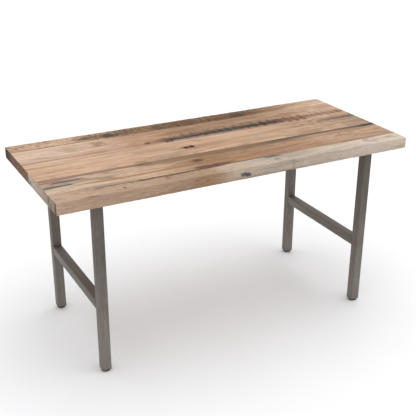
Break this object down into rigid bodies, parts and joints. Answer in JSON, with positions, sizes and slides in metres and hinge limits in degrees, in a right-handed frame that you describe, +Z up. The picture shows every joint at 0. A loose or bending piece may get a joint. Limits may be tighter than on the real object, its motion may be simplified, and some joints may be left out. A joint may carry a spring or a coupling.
{
  "type": "desk",
  "caption": "Rectangular desk with an edge-glued solid board worktop on two welded square-tube H-shaped frames with screw-in levelling feet.",
  "frame": {"origin": "on the floor, below the centre of the worktop, with the feet screwed right in", "axes": "+X along the length of the worktop to the right of a person sitting at the desk, +Y to the back edge, +Z up out of the worktop"},
  "size_m": [1.524, 0.652, 0.761],
  "materials": {
    "reclaimed_wood": "matte oiled",
    "dowel_wood": "raw beech",
    "frame_steel": "raw mill finish under clear satin lacquer",
    "weld_steel": "wire-brushed weld under clear lacquer",
    "zinc_screws": "zinc plated",
    "insert_brass": "turned",
    "plug_plastic": "moulded, fine grain",
    "stem_steel": "zinc plated",
    "cup_steel": "pressed, nickel plated",
    "sole_nylon": "moulded"
  },
  "bodies": {
    "desk": {"back_board": "reclaimed_wood", "back_middle_board": "reclaimed_wood", "middle_board": "reclaimed_wood", "front_middle_board": "reclaimed_wood", "front_board": "reclaimed_wood", "alignment_dowels": "dowel_wood", "leg_front_left": "frame_steel", "leg_back_left": "frame_steel", "leg_front_right": "frame_steel", "leg_back_right": "frame_steel", "crossbar_left": "frame_steel", "crossbar_right": "frame_steel", "top_bar_left": "frame_steel", "top_bar_right": "frame_steel", "welds_left": "weld_steel", "welds_right": "weld_steel", "top_screws_left": "zinc_screws", "top_screws_right": "zinc_screws", "top_washers_left": "zinc_screws", "top_washers_right": "zinc_screws", "threaded_inserts_left": "insert_brass", "threaded_inserts_right": "insert_brass", "end_plug_front_left": "plug_plastic", "end_plug_back_left": "plug_plastic", "end_plug_front_right": "plug_plastic", "end_plug_back_right": "plug_plastic"},
    "foot_front_left": {"foot_cup_front_left": "cup_steel", "foot_sole_front_left": "sole_nylon"},
    "stem_front_left": {"foot_stem_front_left": "stem_steel"},
    "foot_back_left": {"foot_cup_back_left": "cup_steel", "foot_sole_back_left": "sole_nylon"},
    "stem_back_left": {"foot_stem_back_left": "stem_steel"},
    "foot_front_right": {"foot_cup_front_right": "cup_steel", "foot_sole_front_right": "sole_nylon"},
    "stem_front_right": {"foot_stem_front_right": "stem_steel"},
    "foot_back_right": {"foot_cup_back_right": "cup_steel", "foot_sole_back_right": "sole_nylon"},
    "stem_back_right": {"foot_stem_back_right": "stem_steel"}
  },
  "joints": [
    {"name": "foot_drop_front_left", "type": "slide", "parent": "desk", "child": "foot_front_left", "axis": [0, 0, -1], "range_m": [0, 0.01]},
    {"name": "stem_turn_front_left", "type": "hinge", "parent": "foot_front_left", "child": "stem_front_left", "pos_m": [-0.5986, -0.2715, 0.02], "axis": [0, 0, -1], "range_deg": [0, 2880]},
    {"name": "foot_drop_back_left", "type": "slide", "parent": "desk", "child": "foot_back_left", "axis": [0, 0, -1], "range_m": [0, 0.01]},
    {"name": "stem_turn_back_left", "type": "hinge", "parent": "foot_back_left", "child": "stem_back_left", "pos_m": [-0.5986, 0.2715, 0.02], "axis": [0, 0, -1], "range_deg": [0, 2880]},
    {"name": "foot_drop_front_right", "type": "slide", "parent": "desk", "child": "foot_front_right", "axis": [0, 0, -1], "range_m": [0, 0.01]},
    {"name": "stem_turn_front_right", "type": "hinge", "parent": "foot_front_right", "child": "stem_front_right", "pos_m": [0.5986, -0.2715, 0.02], "axis": [0, 0, -1], "range_deg": [0, 2880]},
    {"name": "foot_drop_back_right", "type": "slide", "parent": "desk", "child": "foot_back_right", "axis": [0, 0, -1], "range_m": [0, 0.01]},
    {"name": "stem_turn_back_right", "type": "hinge", "parent": "foot_back_right", "child": "stem_back_right", "pos_m": [0.5986, 0.2715, 0.02], "axis": [0, 0, -1], "range_deg": [0, 2880]}
  ],
  "couplings": [
    {"joint": "stem_turn_front_left", "follows": "foot_drop_front_left", "rad_per_m": 5026.5},
    {"joint": "stem_turn_back_left", "follows": "foot_drop_back_left", "rad_per_m": 5026.5},
    {"joint": "stem_turn_front_right", "follows": "foot_drop_front_right", "rad_per_m": 5026.5},
    {"joint": "stem_turn_back_right", "follows": "foot_drop_back_right", "rad_per_m": 5026.5}
  ]
}
